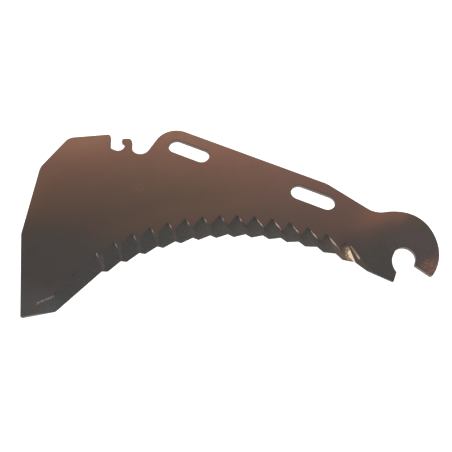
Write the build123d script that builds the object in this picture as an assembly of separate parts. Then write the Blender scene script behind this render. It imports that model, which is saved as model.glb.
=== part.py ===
from build123d import *
import math
import os

# Forage harvester knife: one flat plate of hardened steel with a hooked end, lying face up.
# Millimetres. X runs along the line of the two slots towards the hook, Y towards the back
# edge, Z up through the plate. The origin is midway between the slots, on the underside.

# Plate, with the edges of its upper face broken before grinding
thickness = 5.0
back_offset = 25.5
edge_break = 0.4

# Fixing slots, on the X axis
slot_spacing = 168.0
slot_length = 56.0
slot_width = 20.0

# Corners of the wide tip end, each as x, y
tip_point = (-152.5, -271.0)
tip_heel = (-123.1, -249.9)
nose_low = (-210.3, -187.0)
nose_high = (-243.3, -98.9)
crown_left = (-235.6, -44.9)
crown_right = (-188.6, -17.8)
tip_rounding = 0.6
heel_rounding = 5.0
nose_low_rounding = 16.0
nose_high_rounding = 20.0
crown_left_rounding = 14.0
crown_right_rounding = 4.0

# Spring notch, undercut below the peg's beak
notch_floor = -37.5
notch_left_x = -178.1
notch_right_x = -162.3
notch_left_rounding = 6.0
notch_right_rounding = 8.0

# Peg between the two notches
beak_root_y = -24.6
beak_tip = (-169.3, -23.1)
beak_top = (-171.1, -17.9)
peg_shoulder = (-160.0, -12.0)
beak_root_rounding = 4.8
beak_tip_rounding = 0.5
beak_top_rounding = 1.0
shoulder_rounding = 6.0

# Roller notch between the peg and the cheek, which narrows towards its floor
roller_notch_foot = (-135.1, -61.3)
roller_radius = 11.7

# Back edge, from the cheek's round top to the neck behind the hook
cheek_top_x = -127.9
cheek_rounding = 28.5
back_end_x = 93.4
back_end_rounding = 30.0
neck_start = (149.0, 12.1)

# Hook: arcs around its outside, each as radius and swept angle, and its blunt end
neck_radius = 25.5
neck_turn = 48.4
hook_rise_radius = 57.4
hook_rise_turn = 25.4
hook_crown_radius = 37.3
hook_crown_turn = 49.9
hook_side_radius = 56.4
hook_end_radius = 2.8
hook_end_slope = -15.7

# Throat of the hook, round for the pivot shaft and relieved on the side where the shaft comes in
throat_x = 206.5
throat_y = -32.0
throat_radius = 12.6
throat_seat_turn = 183.0
throat_relief_radius = 20.8
throat_lip_drop = 5.0
cheek_x = 202.8
cheek_top_y = -54.0

# Straight tail below the hook
tail_corner_y = -65.7
tail_start = (172.6, -64.4)

# Toothed cutting edge: notches and tips on two arcs about one centre, equally spaced along
# the chord, as a grinding table steps. The middle is where the tips' arc is parallel to it,
# and the gap is the least distance from the last notch to the tail.
edge_middle = (13.6, -88.8)
tip_arc_radius = 266.5
tooth_depth = 4.0
chord_direction = 25.8
first_notch_offset = -146.9
groove_pitch = 20.6
tip_lag = 6.8
tail_gap = 6.0

# Grooves ground into the upper face, all alike: the direction of each valley in plan, from
# its notch up to the face, and those of the level lines down its two flanks
groove_direction = 136.9
groove_length = 25.7
groove_land = 0.3
wide_flank_direction = -104.1
steep_flank_direction = -28.5


def polar(length, angle):
    """Plan vector of this length at this angle from the X axis, in degrees."""
    return Vector(length * math.cos(math.radians(angle)), length * math.sin(math.radians(angle)))


def on_edge_arc(offset, depth):
    """Point at this offset along the chord from the edge's middle, this deep behind the tips."""
    height = math.sqrt((tip_arc_radius + depth) ** 2 - offset**2) - tip_arc_radius
    across = chord_direction + 90
    return Vector(*edge_middle) + polar(offset, chord_direction) + polar(height, across)


def groove_count():
    """As many grooves as fit between the first notch and the gap before the tail."""
    tail = (Vector(*tail_start) - Vector(*edge_middle)).dot(polar(1, chord_direction))
    return int((tail - tail_gap - first_notch_offset) // groove_pitch) + 1


def notch_points():
    """Roots of the notches in the cutting edge, from the tip end to the tail."""
    offsets = [first_notch_offset + k * groove_pitch for k in range(groove_count())]
    return [on_edge_arc(offset, tooth_depth) for offset in offsets]


def tooth_points():
    """Tips of the teeth, one between each two notches."""
    first = first_notch_offset + tip_lag
    offsets = [first + k * groove_pitch for k in range(groove_count() - 1)]
    return [on_edge_arc(offset, 0) for offset in offsets]


def sawtooth():
    """Corners of the cutting edge in plan, notch and tip in turn, starting at the tip end."""
    notches = notch_points()
    teeth = tooth_points()
    corners = [notches[0]]
    for tooth, notch in zip(teeth, notches[1:]):
        corners += [tooth, notch]
    return corners


def throat_lip():
    """Corner between the hook's end face and the right wall of the throat."""
    return Vector(throat_x + throat_radius, throat_y - throat_lip_drop)


def hook_outline():
    """Outer edges of the hook, from the neck over its crown to the lip of the throat."""
    slope = Vector(*neck_start) - Vector(back_end_x, back_offset)
    neck = JernArc(neck_start, slope, neck_radius, neck_turn)
    rise = JernArc(neck @ 1, neck % 1, hook_rise_radius, -hook_rise_turn)
    crown = JernArc(rise @ 1, rise % 1, hook_crown_radius, -hook_crown_turn)
    side_start = crown @ 1
    side_centre = side_start + (crown % 1).rotate(Axis.Z, -90) * hook_side_radius

    # The rounded end corner touches the side arc from inside and the end face from above
    lip = throat_lip()
    inwards = polar(1, hook_end_slope + 90)
    outwards = polar(1, hook_end_slope)
    offset = side_centre - lip - inwards * hook_end_radius
    reach = hook_side_radius - hook_end_radius
    run = offset.dot(outwards) + math.sqrt(reach**2 - offset.dot(inwards) ** 2)
    corner_centre = lip + inwards * hook_end_radius + outwards * run
    side_end = side_centre + (corner_centre - side_centre).normalized() * hook_side_radius
    end_start = corner_centre - inwards * hook_end_radius

    turn = (side_start - side_centre).get_angle(side_end - side_centre)
    side = JernArc(side_start, crown % 1, hook_side_radius, -turn)
    corner = RadiusArc(side @ 1, end_start, hook_end_radius)
    return [neck, rise, crown, side, corner, Line(corner @ 1, lip)]


def throat_outline():
    """Edges of the throat, from its lip over the round seat to the end of the relief."""
    centre = Vector(throat_x, throat_y)
    lip_side = centre + Vector(throat_radius, 0)
    top = centre + Vector(0, throat_radius)
    seat_end = centre + polar(throat_radius, throat_seat_turn)
    seat = ThreePointArc(lip_side, top, seat_end)
    relief = RadiusArc(seat_end, (cheek_x, cheek_top_y), -throat_relief_radius)
    return [Line(throat_lip(), lip_side), seat, relief]


def blank():
    """Flat outline of the knife as a face, with its notches, teeth and throat but no slots."""
    corners = [((cheek_x, cheek_top_y), 0), ((cheek_x, tail_corner_y), 0), (tail_start, 0)]
    corners += [(corner, 0) for corner in reversed(sawtooth())]
    corners += [
        (tip_heel, heel_rounding),
        (tip_point, tip_rounding),
        (nose_low, nose_low_rounding),
        (nose_high, nose_high_rounding),
        (crown_left, crown_left_rounding),
        (crown_right, crown_right_rounding),
        ((notch_left_x, notch_floor), notch_left_rounding),
        ((notch_right_x, notch_floor), notch_right_rounding),
        ((notch_right_x, beak_root_y), beak_root_rounding),
        (beak_tip, beak_tip_rounding),
        (beak_top, beak_top_rounding),
        (peg_shoulder, shoulder_rounding),
        (roller_notch_foot, roller_radius),
        ((cheek_top_x, back_offset), cheek_rounding),
        ((back_end_x, back_offset), back_end_rounding),
        (neck_start, 0),
    ]
    points = [point for point, rounding in corners]
    roundings = [rounding for point, rounding in corners[1:-1]]
    rest = FilletPolyline(*points, radius=roundings)
    return make_face(hook_outline() + throat_outline() + rest.edges())


def slots():
    """The two fixing slots in plan."""
    places = [Location((side * slot_spacing / 2, 0)) for side in (-1, 1)]
    return [place * SlotOverall(slot_length, slot_width) for place in places]


def flank_reach():
    """Length that carries a groove's flanks past both ends of the cutting edge."""
    notches = notch_points()
    smooth_edge = Vector(*tip_point) - notches[0]
    tail = Vector(cheek_x, tail_corner_y) - notches[-1]
    return smooth_edge.length + tail.length


def groove_cutter(notch):
    """Prism with a V in plan that leans along the groove from the notch's root to the face."""
    lean = polar(groove_length, groove_direction) + Vector(0, 0, thickness - groove_land)
    start = notch + Vector(0, 0, groove_land) - lean * 0.2
    wide = start + polar(flank_reach(), wide_flank_direction)
    steep = start + polar(flank_reach(), steep_flank_direction)
    v_face = make_face(Polyline(start, wide, steep, close=True))
    return extrude(v_face, amount=lean.length * 1.5, dir=lean.normalized())


knife = extrude(blank(), amount=thickness, dir=(0, 0, 1))
knife -= [extrude(slot, amount=thickness) for slot in slots()]
knife = chamfer(knife.faces().sort_by(Axis.Z)[-1].edges(), edge_break)
for notch in notch_points():
    knife -= groove_cutter(notch)

os.makedirs("parts", exist_ok=True)
export_step(knife, "parts/knife.step")
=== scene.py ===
import math

import bpy
from mathutils import Matrix, Vector

# A forage harvester knife lying face up on a plain white table. Metres, in the frame of the
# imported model: X along the slots towards the hook, Y towards the back edge, Z up.

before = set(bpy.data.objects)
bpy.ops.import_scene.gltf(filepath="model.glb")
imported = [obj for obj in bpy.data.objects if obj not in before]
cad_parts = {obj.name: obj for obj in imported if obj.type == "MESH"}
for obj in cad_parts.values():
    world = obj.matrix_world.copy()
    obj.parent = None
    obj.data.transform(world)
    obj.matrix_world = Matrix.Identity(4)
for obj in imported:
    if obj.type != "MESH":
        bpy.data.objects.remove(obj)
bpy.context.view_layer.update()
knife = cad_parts["knife"]

MM = 0.001

# Camera of the photograph: place, view direction and focal length
CAMERA_PLACE = Vector((116.7, -329.1, 526.0)) * MM
CAMERA_FORWARD = Vector((-0.191, 0.4245, -0.885))
CAMERA_UP = Vector((-0.363, 0.807, 0.4655))
FRAME_PIXELS = 452
FOCAL_PIXELS = 500.0
SENSOR_WIDTH = 36.0
CAMERA_SHIFT = (-0.0008, -0.0003)

# Toothed edge, in millimetres and degrees in plan: the centre of the arcs that its notches
# and tips stand on, its chord, and the first notch's place along that chord
EDGE_CENTRE = (129.6, -328.7)
CHORD_DIRECTION = 25.8
FIRST_NOTCH = -173.3
GROOVE_PITCH = 20.6
LAST_GROOVE = 14

# Ground grooves: the valley's direction in plan, its length, its land below and its rise, and
# the level lines of its two flanks, which give the flanks' normals
GROOVE_DIRECTION = 136.9
GROOVE_LENGTH = 25.7
GROOVE_LAND = 0.3
GROOVE_RISE = 4.7
WIDE_FLANK_DIRECTION = -104.1
STEEP_FLANK_DIRECTION = -28.5

# Bright patch in the last groove: the top and the direction of its straight right side, and
# the painted highlight of a worn edge, a sliver beside the patch
PATCH_TOP = (145.7, -47.0)
PATCH_DIRECTION = -45.7
LAST_SLIVER_START = (144.9, -43.6)
LAST_SLIVER_DIRECTION = -38.0
LAST_SLIVER_LENGTH = 20.0

# Heel of the smooth edge at the tip, the scuff beside it with its start and direction, the
# small dent of a hardness test, and the centre and the scuffed end of the hook
HEEL = (-134.0, -258.0)
SCUFF_START = (-144.9, -251.3)
SCUFF_DIRECTION = 51.5
SCUFF_LENGTH = 19.4
DENT_PLACE = (-114.3, -74.2)
DENT_RADIUS = 4.2
HOOK_CENTRE = (206.0, -34.0)
HOOK_END = (240.5, -36.0)

# Share of a colour, given as it should appear, that the surface has under the studio's light
PAINT_SHARE = 0.8


def plan(angle, length=1.0, height=0.0):
    """Vector of this length in plan at this angle from X, in degrees, and this height."""
    a = math.radians(angle)
    return Vector((length * math.cos(a), length * math.sin(a), height))


VALLEY = plan(GROOVE_DIRECTION, GROOVE_LENGTH, GROOVE_RISE)
WIDE_NORMAL = VALLEY.cross(plan(WIDE_FLANK_DIRECTION)).normalized()
STEEP_NORMAL = plan(STEEP_FLANK_DIRECTION).cross(VALLEY).normalized()


class Graph:
    """Short calls that add shader nodes to one material and join them."""

    def __init__(self, name):
        self.material = bpy.data.materials.new(name)
        self.material.use_nodes = True
        self.tree = self.material.node_tree
        self.tree.nodes.clear()

    def add(self, kind, settings=None, **values):
        """A node of this kind, with its settings, and its named inputs set or joined."""
        node = self.tree.nodes.new("ShaderNode" + kind)
        for key, value in (settings or {}).items():
            setattr(node, key, value)
        for key, value in values.items():
            self.put(node.inputs[key.replace("_", " ")], value)
        return node

    def put(self, socket, value):
        """Joins an output to a socket, or sets the socket's value."""
        if isinstance(value, bpy.types.NodeSocket):
            self.tree.links.new(value, socket)
        elif isinstance(value, (tuple, list)) and len(value) == 3 and socket.type == "RGBA":
            socket.default_value = (*value, 1.0)
        else:
            socket.default_value = value

    def math(self, operation, *values, clamp=False):
        node = self.add("Math", {"operation": operation, "use_clamp": clamp})
        for socket, value in zip(node.inputs, values):
            self.put(socket, value)
        return node.outputs[0]

    def total(self, *terms):
        """Sum of several values."""
        result = terms[0]
        for term in terms[1:]:
            result = self.math("ADD", result, term)
        return result

    def product(self, *factors):
        """Product of several values."""
        result = factors[0]
        for factor in factors[1:]:
            result = self.math("MULTIPLY", result, factor)
        return result

    def opposite(self, value):
        """One minus a value."""
        return self.math("SUBTRACT", 1.0, value)

    def weighted(self, *pairs):
        """Sum of products, each pair a value and its weight."""
        return self.total(*[self.product(value, weight) for value, weight in pairs])

    def vector_math(self, operation, a, b, output=0):
        node = self.add("VectorMath", {"operation": operation})
        self.put(node.inputs[0], a)
        self.put(node.inputs["Scale"] if operation == "SCALE" else node.inputs[1], b)
        return node.outputs[output]

    def dot(self, a, b):
        """Dot product of two vectors."""
        return self.vector_math("DOT_PRODUCT", a, b, "Value")

    def step(self, value, start, end):
        """Smooth ramp from 0 at start to 1 at end."""
        node = self.add("MapRange", {"interpolation_type": "SMOOTHSTEP", "clamp": True})
        self.put(node.inputs["Value"], value)
        self.put(node.inputs["From Min"], start)
        self.put(node.inputs["From Max"], end)
        return node.outputs["Result"]

    def fall(self, value, start, end):
        """Smooth ramp from 1 at start down to 0 at end."""
        return self.opposite(self.step(value, start, end))

    def noise(self, vector, size, detail=3.0, roughness=0.5):
        """Noise about 0, from roughly -1 to 1, with features of this size in millimetres."""
        node = self.add("TexNoise", {"noise_dimensions": "3D"}, Vector=vector, Scale=1.0 / size,
                        Detail=detail, Roughness=roughness)
        return self.math("MULTIPLY_ADD", node.outputs["Fac"], 4.0, -2.0)

    def mix(self, factor, a, b):
        """Mix of two colours."""
        node = self.add("Mix", {"data_type": "RGBA", "clamp_factor": True})
        self.put(node.inputs[0], factor)
        self.put(node.inputs[6], a)
        self.put(node.inputs[7], b)
        return node.outputs[2]

    def scale(self, colour, factor):
        """Colour times a value."""
        return self.vector_math("SCALE", colour, factor)

    def ramp(self, value, *stops):
        """Colour ramp through stops, each a place and a colour."""
        node = self.add("ValToRGB", Fac=value)
        elements = node.color_ramp.elements
        while len(elements) < len(stops):
            elements.new(0.5)
        for element, (place, colour) in zip(elements, stops):
            element.position = place
            element.color = (*colour, 1.0)
        return node.outputs["Color"]


def linear(red, green, blue):
    """Linear colour of a display colour given from 0 to 255."""
    def one(value):
        value = value / 255
        return value / 12.92 if value <= 0.04045 else ((value + 0.055) / 1.055) ** 2.4
    return (one(red), one(green), one(blue))


class Knife:
    """Places on the knife that its material's parts share, as values in the shader."""

    def __init__(self, g):
        coordinates = g.add("TexCoord").outputs["Object"]
        self.place = g.scale(coordinates, 1 / MM)
        self.x, self.y, self.z = g.add("SeparateXYZ", Vector=self.place).outputs
        normal = g.add("NewGeometry").outputs["True Normal"]
        nz = g.add("SeparateXYZ", Vector=normal).outputs[2]

        # Which surface a point is on, from its true normal
        self.wall = g.fall(g.math("ABSOLUTE", nz), 0.35, 0.5)
        self.break_edge = g.product(g.step(nz, 0.65, 0.69), g.fall(nz, 0.72, 0.76))
        self.steep = g.step(g.dot(normal, tuple(STEEP_NORMAL)), 0.995, 0.999)
        self.wide = g.product(
            g.step(g.dot(normal, tuple(WIDE_NORMAL)), 0.9985, 0.9995),
            g.fall(nz, 0.9985, 0.9995),
        )

        # Noises of several sizes
        self.broad = g.noise(self.place, 45.0, 2.0)
        self.patches = g.noise(self.place, 9.0, 3.0)
        self.grain = g.noise(self.place, 1.6, 4.0, 0.65)
        self.mottle = g.total(1.0, g.weighted((self.patches, 0.05), (self.grain, 0.07)))

        # Grooves: a point's foot is where its line along the valley meets the notch's root,
        # which gives the groove's number and the distance from its apex along the steep arm
        rise = g.math("DIVIDE", g.math("SUBTRACT", self.z, GROOVE_LAND), GROOVE_RISE)
        foot = g.vector_math("SUBTRACT", self.place, g.scale(tuple(VALLEY), rise))
        along = g.dot(foot, tuple(plan(CHORD_DIRECTION)))
        chord_x = -FIRST_NOTCH
        self.cell = g.math("DIVIDE", g.math("ADD", along, chord_x), GROOVE_PITCH)
        self.number = g.math("MINIMUM", g.math("FLOOR", self.cell), LAST_GROOVE)
        share = math.cos(math.radians(CHORD_DIRECTION - STEEP_FLANK_DIRECTION))
        self.arm = g.product(g.math("SUBTRACT", self.cell, self.number), GROOVE_PITCH / share)

        # Distance in plan from the groove's valley, along the chord
        whole = g.math("ROUND", self.cell)
        away = g.math("ABSOLUTE", g.math("SUBTRACT", self.cell, whole))
        self.valley = g.math("MULTIPLY", away, GROOVE_PITCH)

    def line(self, g, start, direction):
        """Distances along a line in plan from its start, and to the right of it."""
        results = []
        for angle in (direction, direction - 90):
            axis = plan(angle)
            offset = axis.dot(Vector((*start, 0)))
            results.append(g.math("SUBTRACT", g.dot(self.place, tuple(axis)), offset))
        return results

    def radius(self, g, centre):
        """Distance in plan from a centre."""
        flat = g.vector_math("MULTIPLY", self.place, (1.0, 1.0, 0.0))
        return g.vector_math("DISTANCE", flat, (*centre, 0.0), "Value")


def face_colour(g, k):
    """Temper colour of the faces with a painted sheen, copper at the back edge and dark umber at the teeth.
    """
    u = g.math("DIVIDE", k.x, 200.0)
    v = g.math("DIVIDE", k.y, 200.0)
    # Brightness over the face: partly the temper colour, partly a painted sheen, lightest at the back edge
    # and darkest at the teeth
    sheen_and_temper_level = g.total(92.3, g.weighted(
        (v, 57.5),
        (g.product(v, v), 23.0),
        (u, -14.0),
        (g.product(u, v), -7.0),
        (g.product(u, u), 7.5),
        (g.fall(k.x, -245.0, -190.0), 5.0),
        (g.product(g.fall(k.x, -220.0, -150.0), g.step(k.y, -90.0, -30.0)), 9.0),
        (g.product(g.fall(k.radius(g, EDGE_CENTRE), 303.0, 328.0), g.fall(k.x, -40.0, 70.0)), 4.5),
        (k.broad, 1.0),
        (k.patches, 0.6),
        (k.grain, 1.1),
    ))
    colour = g.ramp(
        g.math("DIVIDE", sheen_and_temper_level, 120.0),
        (50 / 120, linear(54, 50, 49)),
        (67 / 120, linear(75, 65, 61)),
        (79 / 120, linear(96, 76, 64)),
        (97 / 120, linear(126, 91, 76)),
        (112 / 120, linear(145, 106, 87)),
    )

    # Slightly mauve towards the hook
    colour = g.mix(g.product(g.step(k.x, -60.0, 100.0), 0.15), colour, linear(112, 94, 98))

    # Copper red along the top of the neck, mauve and grey over the hook and at the tip
    above = g.weighted((k.x, -0.62), (k.y, 1.0), (k.patches, 3.0))
    neck = g.product(g.step(k.x, 130.0, 160.0), g.fall(g.math("ADD", k.x, k.patches), 188.0, 204.0))
    red = g.product(g.step(above, -118.0, -92.0), neck)
    colour = g.mix(g.product(red, 0.55), colour, linear(140, 98, 82))
    hook = g.step(g.weighted((k.x, 0.84), (k.y, -0.543), (k.patches, 2.0)), 130.0, 172.0)
    mauve = g.step(g.weighted((k.x, 1.0), (k.y, 0.5)), 160.0, 205.0)
    beside_patch = g.fall(k.radius(g, PATCH_TOP), 6.0, 26.0)
    colour = g.mix(g.product(beside_patch, 0.5), colour, linear(80, 66, 70))
    outer = g.step(g.math("ADD", k.radius(g, HOOK_CENTRE), g.product(k.patches, 3.0)), 38.0, 54.0)
    grey = g.mix(mauve, linear(76, 74, 71), g.mix(outer, linear(88, 79, 79), linear(87, 80, 70)))
    blotches = g.noise(k.place, 6.0, 3.0)
    grey = g.mix(g.product(g.step(blotches, 0.0, 1.0), 0.35), grey, linear(100, 80, 82))
    grey = g.mix(g.product(g.fall(blotches, -1.0, 0.0), 0.35), grey, linear(78, 79, 64))
    grey_share = g.product(hook, g.opposite(g.product(red, 0.85)), 0.9)
    colour = g.mix(grey_share, colour, g.scale(grey, k.mottle))
    towards_tip = g.weighted((k.x, 0.25), (k.y, -1.0), (k.patches, 3.0))
    left_side = g.product(g.fall(k.x, -238.0, -226.0), g.step(k.y, -110.0, -160.0), 0.6)
    pale = g.math("MAXIMUM", g.step(towards_tip, 180.0, 222.0), left_side)
    umber = g.mix(pale, linear(76, 71, 68), linear(88, 85, 86))
    tip = g.math("MAXIMUM", g.step(towards_tip, 95.0, 150.0), left_side)
    colour = g.mix(g.product(tip, 0.9), colour, g.scale(umber, k.mottle))

    # Reddish and greenish patches
    tint = g.noise(k.place, 14.0, 2.0)
    reddish = g.product(g.step(tint, 0.0, 1.4), g.math("MULTIPLY_ADD", tip, -0.6, 1.0), 0.14)
    colour = g.mix(reddish, colour, linear(118, 70, 66))
    return g.mix(g.product(g.fall(tint, -1.4, 0.0), 0.14), colour, linear(84, 84, 62))


def worn_colour(g, k, colour):
    """Scuffs on the upper side: at the tip, the hook's end, and a hardness tester's dent."""
    # Rust brown and bare speckles at the hook's end, pinkish up its outer side
    side = g.product(g.step(k.x, 230.0, 241.0), g.fall(k.y, -20.0, 0.0), 0.7)
    colour = g.mix(side, colour, linear(110, 88, 84))
    end = g.fall(g.math("ADD", k.radius(g, HOOK_END), g.product(k.patches, 5.0)), 4.0, 18.0)
    colour = g.mix(g.product(end, 0.85), colour, linear(124, 92, 82))
    specks = g.noise(k.place, 1.5, 2.0)
    coarse_specks = g.noise(k.place, 2.4, 2.0)
    colour = g.mix(g.product(end, g.step(coarse_specks, 0.1, 0.7), 0.8), colour, linear(168, 134, 112))
    around = g.fall(k.radius(g, HOOK_END), 18.0, 46.0)
    colour = g.mix(g.product(around, g.step(coarse_specks, 0.6, 1.0), 0.45), colour, linear(126, 108, 98))

    # Bright broken scuff near the tip with a brown shade on its lower side
    along, right = k.line(g, SCUFF_START, SCUFF_DIRECTION)
    length = g.product(g.step(along, -1.5, 1.0), g.fall(along, SCUFF_LENGTH - 1, SCUFF_LENGTH + 2))
    beside = g.product(g.step(right, 0.5, 2.0), g.fall(right, 5.0, 10.0))
    shade = g.product(beside, g.step(along, -7.0, -3.0), g.fall(along, 4.0, 9.0))
    colour = g.mix(g.product(shade, 0.7), colour, linear(94, 84, 72))
    bright = g.product(length, g.fall(g.math("ABSOLUTE", right), 0.5, 1.8))
    colour = g.mix(g.product(bright, g.step(specks, -0.5, 0.6), 0.9), colour, linear(164, 144, 140))

    # Raised rim of the dent
    rim = g.math("ABSOLUTE", g.math("SUBTRACT", k.radius(g, DENT_PLACE), DENT_RADIUS))
    broken = g.step(g.noise(k.place, 2.5, 2.0), -0.5, 0.7)
    return g.mix(g.product(g.fall(rim, 0.2, 1.3), broken, 0.4), colour, linear(126, 110, 90))


def flank_colours(g, k):
    """Bare ground flanks, with fine marks along the grooves."""
    turned = g.add("VectorRotate", {"rotation_type": "Z_AXIS"}, Vector=k.place,
                   Angle=-math.radians(GROOVE_DIRECTION)).outputs[0]
    marks = g.noise(g.vector_math("MULTIPLY", turned, (0.06, 1.0, 1.0)), 0.5, 3.0, 0.7)
    spots = g.noise(k.place, 3.0, 3.0)
    dark_apex = g.product(g.fall(k.valley, 1.0, 5.0), g.step(k.z, 3.6, 4.7))
    shade = g.total(1.0, g.weighted((marks, 0.08), (spots, 0.1), (dark_apex, -0.2)))

    # Wide flanks are grey at the tip's smooth edge and lighten and warm towards the hook
    across_plate = g.math("MULTIPLY_ADD", k.x, 1 / 400, 0.5)
    wide = g.ramp(
        across_plate,
        (0.12, linear(79, 78, 78)),
        (0.26, linear(73, 72, 70)),
        (0.5, linear(78, 75, 71)),
        (0.82, linear(87, 81, 76)),
    )
    wide = g.mix(g.product(g.step(spots, 0.0, 1.2), 0.4), wide, linear(94, 76, 78))
    wide = g.mix(g.product(g.fall(spots, -1.2, 0.0), 0.3), wide, linear(70, 76, 68))
    heel = g.fall(k.radius(g, HEEL), 6.0, 30.0)
    wide = g.mix(g.product(heel, 0.8), wide, linear(92, 92, 95))
    fade = g.math("MULTIPLY_ADD", g.step(k.x, -70.0, 0.0), -0.085, -0.03)
    low = g.math("MULTIPLY_ADD", g.math("SUBTRACT", k.z, 3.7), fade, 1.0)
    wide = g.scale(wide, g.product(shade, low))

    # Steep flanks have a dark brown line under their upper edge, and are lightest at the patch
    beside = g.product(g.step(k.number, 12.2, 12.8), g.fall(k.number, 13.2, 13.8))
    lower = g.mix(beside, linear(92, 85, 81), linear(110, 95, 86))
    strength = g.math("MULTIPLY_ADD", g.step(k.number, 6.2, 8.8), 0.5, 0.3)
    line = g.product(g.step(k.z, 3.2, 3.8), g.fall(k.number, 13.2, 13.8), strength)
    steep = g.scale(g.mix(line, lower, linear(74, 64, 56)), shade)

    # A pale brown band runs down the first groove, and fainter ones down the next few
    centre = g.math("MULTIPLY_ADD", k.z, 0.045, 0.08)
    share = g.math("SUBTRACT", k.cell, k.number)
    band = g.fall(g.math("ABSOLUTE", g.math("SUBTRACT", share, centre)), 0.06, 0.2)
    fading = g.math("MULTIPLY_ADD", g.fall(k.number, 0.2, 0.8), 0.5, 0.5)
    band = g.product(band, fading, g.step(k.number, -0.8, -0.2), g.fall(k.number, 4.0, 8.0))
    brownish = g.scale(g.mix(g.step(k.z, 1.2, 2.6), linear(96, 90, 92), linear(98, 88, 83)), shade)
    wide = g.mix(band, wide, brownish)
    steep = g.mix(band, steep, brownish)
    return wide, steep, marks


def sliver_highlight_colour(g, k, colour):
    """Painted highlights of worn, rounded upper edges: bright slivers along the steep flanks, longer
    towards the hook.
    """
    start = g.math("MULTIPLY_ADD", k.number, 0.25, 2.6)
    length = g.math("MULTIPLY_ADD", g.step(k.number, 8.2, 8.8), 7.0, 3.0)
    beyond = g.math("SUBTRACT", k.arm, g.math("ADD", start, length))
    begun = g.step(g.math("SUBTRACT", k.arm, start), -0.8, 0.8)
    top = g.product(k.steep, g.step(k.z, 4.0, 4.4), begun)
    usual = g.product(top, g.fall(beyond, -1.2, 1.2), g.fall(k.number, 13.2, 13.8))
    beads = g.noise(k.place, 4.0, 2.0)
    sliver_glint = g.mix(g.step(beads, -0.7, 0.5), linear(158, 134, 122), linear(214, 196, 188))

    # The last but one painted highlight fades out along its flank, the last is wide and dull in its middle
    upper = g.product(k.steep, g.step(k.z, 3.5, 3.9), begun)
    thirteenth = g.product(g.step(k.number, 12.2, 12.8), g.fall(k.number, 13.2, 13.8))
    faint = g.product(upper, thirteenth, g.fall(k.arm, 20.0, 24.0))
    along, right = k.line(g, LAST_SLIVER_START, LAST_SLIVER_DIRECTION)
    bulge = g.product(g.step(along, 1.0, 9.0), g.math("MULTIPLY_ADD", g.step(along, 11.0, 19.0), -0.5, 1.0))
    half_width = g.math("MULTIPLY_ADD", bulge, 0.8, 0.4)
    across = g.math("SUBTRACT", g.math("ABSOLUTE", right), half_width)
    end = g.fall(along, LAST_SLIVER_LENGTH - 1.5, LAST_SLIVER_LENGTH)
    last = g.product(g.step(along, 0.4, 2.0), end, g.fall(across, -0.5, 0.3))
    middle = g.fall(g.math("ABSOLUTE", g.math("SUBTRACT", along, 8.5)), 3.5, 8.0)
    dull = g.mix(middle, linear(206, 186, 178), linear(160, 136, 121))

    colour = g.mix(g.product(faint, 0.9), colour, linear(136, 116, 106))
    colour = g.mix(usual, colour, sliver_glint)
    return g.mix(last, colour, g.scale(dull, k.mottle))


def patch_colour(g, k, colour):
    """Cream and gold glare in the last groove, where fresh metal is bare."""
    down, right = k.line(g, PATCH_TOP, PATCH_DIRECTION)
    specks = g.noise(k.place, 1.8, 3.0)
    fine_specks = g.noise(k.place, 1.1, 2.0)
    width = g.total(0.8, g.product(g.step(down, -1.0, 6.0), 4.0), g.product(g.step(down, 8.0, 15.0), -2.0))
    ragged = g.total(right, g.product(specks, 1.8), g.product(width, -1.0))
    inside = g.step(right, 0.2, 0.9)
    haze = g.product(inside, g.fall(ragged, 4.0, 11.0), g.step(down, -6.0, -1.0))
    gold = g.product(inside, g.fall(ragged, 1.5, 5.0), g.step(down, -4.0, -1.0))
    cream = g.product(inside, g.fall(ragged, -0.6, 0.6), g.step(down, 1.0, 2.4))
    band = g.product(g.step(right, -3.2, -2.4), g.fall(right, 0.2, 0.9))
    brown = g.product(band, g.step(down, 1.0, 3.0), g.fall(down, 14.0, 17.0))
    low = g.step(down, 8.0, 15.0)
    shade = g.mix(low, linear(104, 78, 58), linear(98, 76, 68))
    core = g.mix(low, linear(240, 214, 184), linear(246, 222, 208))
    colour = g.mix(g.product(brown, 0.85), colour, shade)
    colour = g.mix(g.product(haze, 0.7), colour, linear(128, 106, 88))
    colour = g.mix(g.product(gold, 0.8), colour, linear(146, 118, 98))
    colour = g.mix(g.product(gold, g.step(fine_specks, -0.2, 0.5), 0.9), colour, linear(216, 184, 156))
    return g.mix(cream, colour, g.scale(core, g.math("MULTIPLY_ADD", fine_specks, 0.08, 1.3)))


def wall_colour(g, k):
    """Cut walls: bare where the light shows them, darkened by painted shade along the cutting edge."""
    cut = g.noise(g.vector_math("MULTIPLY", k.place, (1.0, 1.0, 0.12)), 0.8, 3.0, 0.6)
    # Painted shade: the walls along the toothed edge and the tail are darkened
    edge_shade = g.product(g.fall(k.radius(g, EDGE_CENTRE), 296.0, 303.0), g.step(k.y, -266.0, -246.0))
    colour = g.mix(edge_shade, linear(128, 114, 108), linear(72, 68, 66))
    return g.scale(colour, g.math("MULTIPLY_ADD", cut, 0.08, 1.0))


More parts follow.
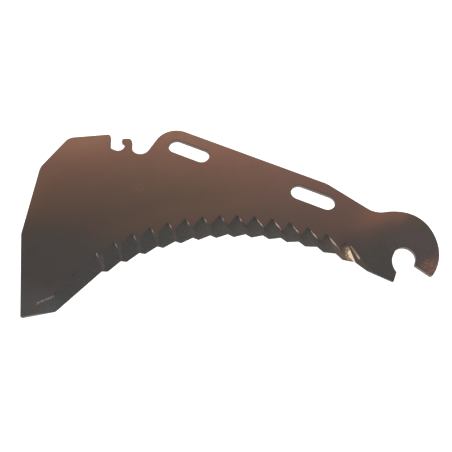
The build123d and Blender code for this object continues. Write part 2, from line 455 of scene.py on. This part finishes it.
def knife_steel():
    """Hardened plate with a temper colour, cut walls and bare ground flanks."""
    g = Graph("knife_steel")
    k = Knife(g)
    wide, steep, marks = flank_colours(g, k)
    colour = face_colour(g, k)
    # Painted shade: the chamfered edge breaks, found by their normal, are darkened
    colour = g.mix(k.break_edge, colour, linear(62, 54, 51))
    smooth_edge = g.product(g.fall(k.x, -112.0, -94.0), g.step(k.z, 1.5, 5.0), 0.5)
    blend = g.total(1.0, g.weighted((g.step(k.z, 4.6, 5.0), -0.4), (smooth_edge, -1.0)))
    colour = g.mix(g.product(k.wide, blend), colour, wide)
    colour = g.mix(k.steep, colour, steep)
    flanks = g.math("ADD", k.wide, k.steep, clamp=True)
    last = g.product(flanks, g.step(k.cell, 12.5, 13.0))
    colour = g.mix(last, colour, patch_colour(g, k, colour))
    colour = worn_colour(g, k, sliver_highlight_colour(g, k, colour))
    colour = g.mix(k.wall, colour, wall_colour(g, k))

    rough = g.total(0.45, g.weighted((k.patches, 0.03), (k.wall, 0.15), (flanks, -0.08)))
    height = g.weighted((g.product(k.grain, g.opposite(flanks)), 0.25), (g.product(marks, flanks), 0.5))
    bump = g.add("Bump", Strength=0.25, Distance=0.00004, Height=height)
    shader = g.add("BsdfPrincipled", Base_Color=g.scale(colour, PAINT_SHARE), Roughness=rough,
                   Metallic=0.8, Normal=bump.outputs[0])
    g.add("OutputMaterial", Surface=shader.outputs[0])
    return g.material


def table_white():
    """White table that lights the knife's walls from below."""
    g = Graph("table_white")
    shader = g.add("BsdfPrincipled", Base_Color=(0.9, 0.9, 0.9), Roughness=0.8,
                   Emission_Color=(1.0, 1.0, 1.0), Emission_Strength=0.75)
    g.add("OutputMaterial", Surface=shader.outputs[0])
    return g.material


def add_table():
    """Large table just under the knife."""
    reach = 3.0
    mesh = bpy.data.meshes.new("table")
    corners = [(-reach, -reach, 0), (reach, -reach, 0), (reach, reach, 0), (-reach, reach, 0)]
    mesh.from_pydata(corners, [], [(0, 1, 2, 3)])
    mesh.materials.append(table_white())
    table = bpy.data.objects.new("table", mesh)
    table.location.z = -0.0001
    bpy.context.scene.collection.objects.link(table)


def add_soft_light(name, place, size, power):
    """Square soft box that faces the knife."""
    light = bpy.data.lights.new(name, "AREA")
    light.shape = "SQUARE"
    light.size = size
    light.energy = power
    lamp = bpy.data.objects.new(name, light)
    lamp.location = place
    lamp.rotation_mode = "QUATERNION"
    lamp.rotation_quaternion = (-Vector(place)).to_track_quat("-Z", "Y")
    bpy.context.scene.collection.objects.link(lamp)


def add_world():
    """Even white room light."""
    world = bpy.data.worlds.new("studio")
    bpy.context.scene.world = world
    world.use_nodes = True
    background = world.node_tree.nodes["Background"]
    background.inputs["Color"].default_value = (1.0, 1.0, 1.0, 1.0)
    background.inputs["Strength"].default_value = 0.9


def add_camera():
    """Camera at the photograph's place and angle."""
    data = bpy.data.cameras.new("camera")
    data.sensor_width = SENSOR_WIDTH
    data.lens = SENSOR_WIDTH * FOCAL_PIXELS / FRAME_PIXELS
    data.clip_start = 0.01
    data.shift_x = CAMERA_SHIFT[0]
    data.shift_y = CAMERA_SHIFT[1]
    camera = bpy.data.objects.new("camera", data)
    back = -CAMERA_FORWARD.normalized()
    right = CAMERA_UP.cross(back).normalized()
    up = back.cross(right)
    turn = Matrix((right, up, back)).transposed().to_4x4()
    camera.matrix_world = Matrix.Translation(CAMERA_PLACE) @ turn
    bpy.context.scene.collection.objects.link(camera)
    bpy.context.scene.camera = camera


knife.data.materials.clear()
knife.data.materials.append(knife_steel())
add_table()
add_world()
add_soft_light("key", (-0.5, 0.9, 1.3), 1.2, 3.0)
add_camera()
bpy.context.scene.view_settings.view_transform = "Standard"
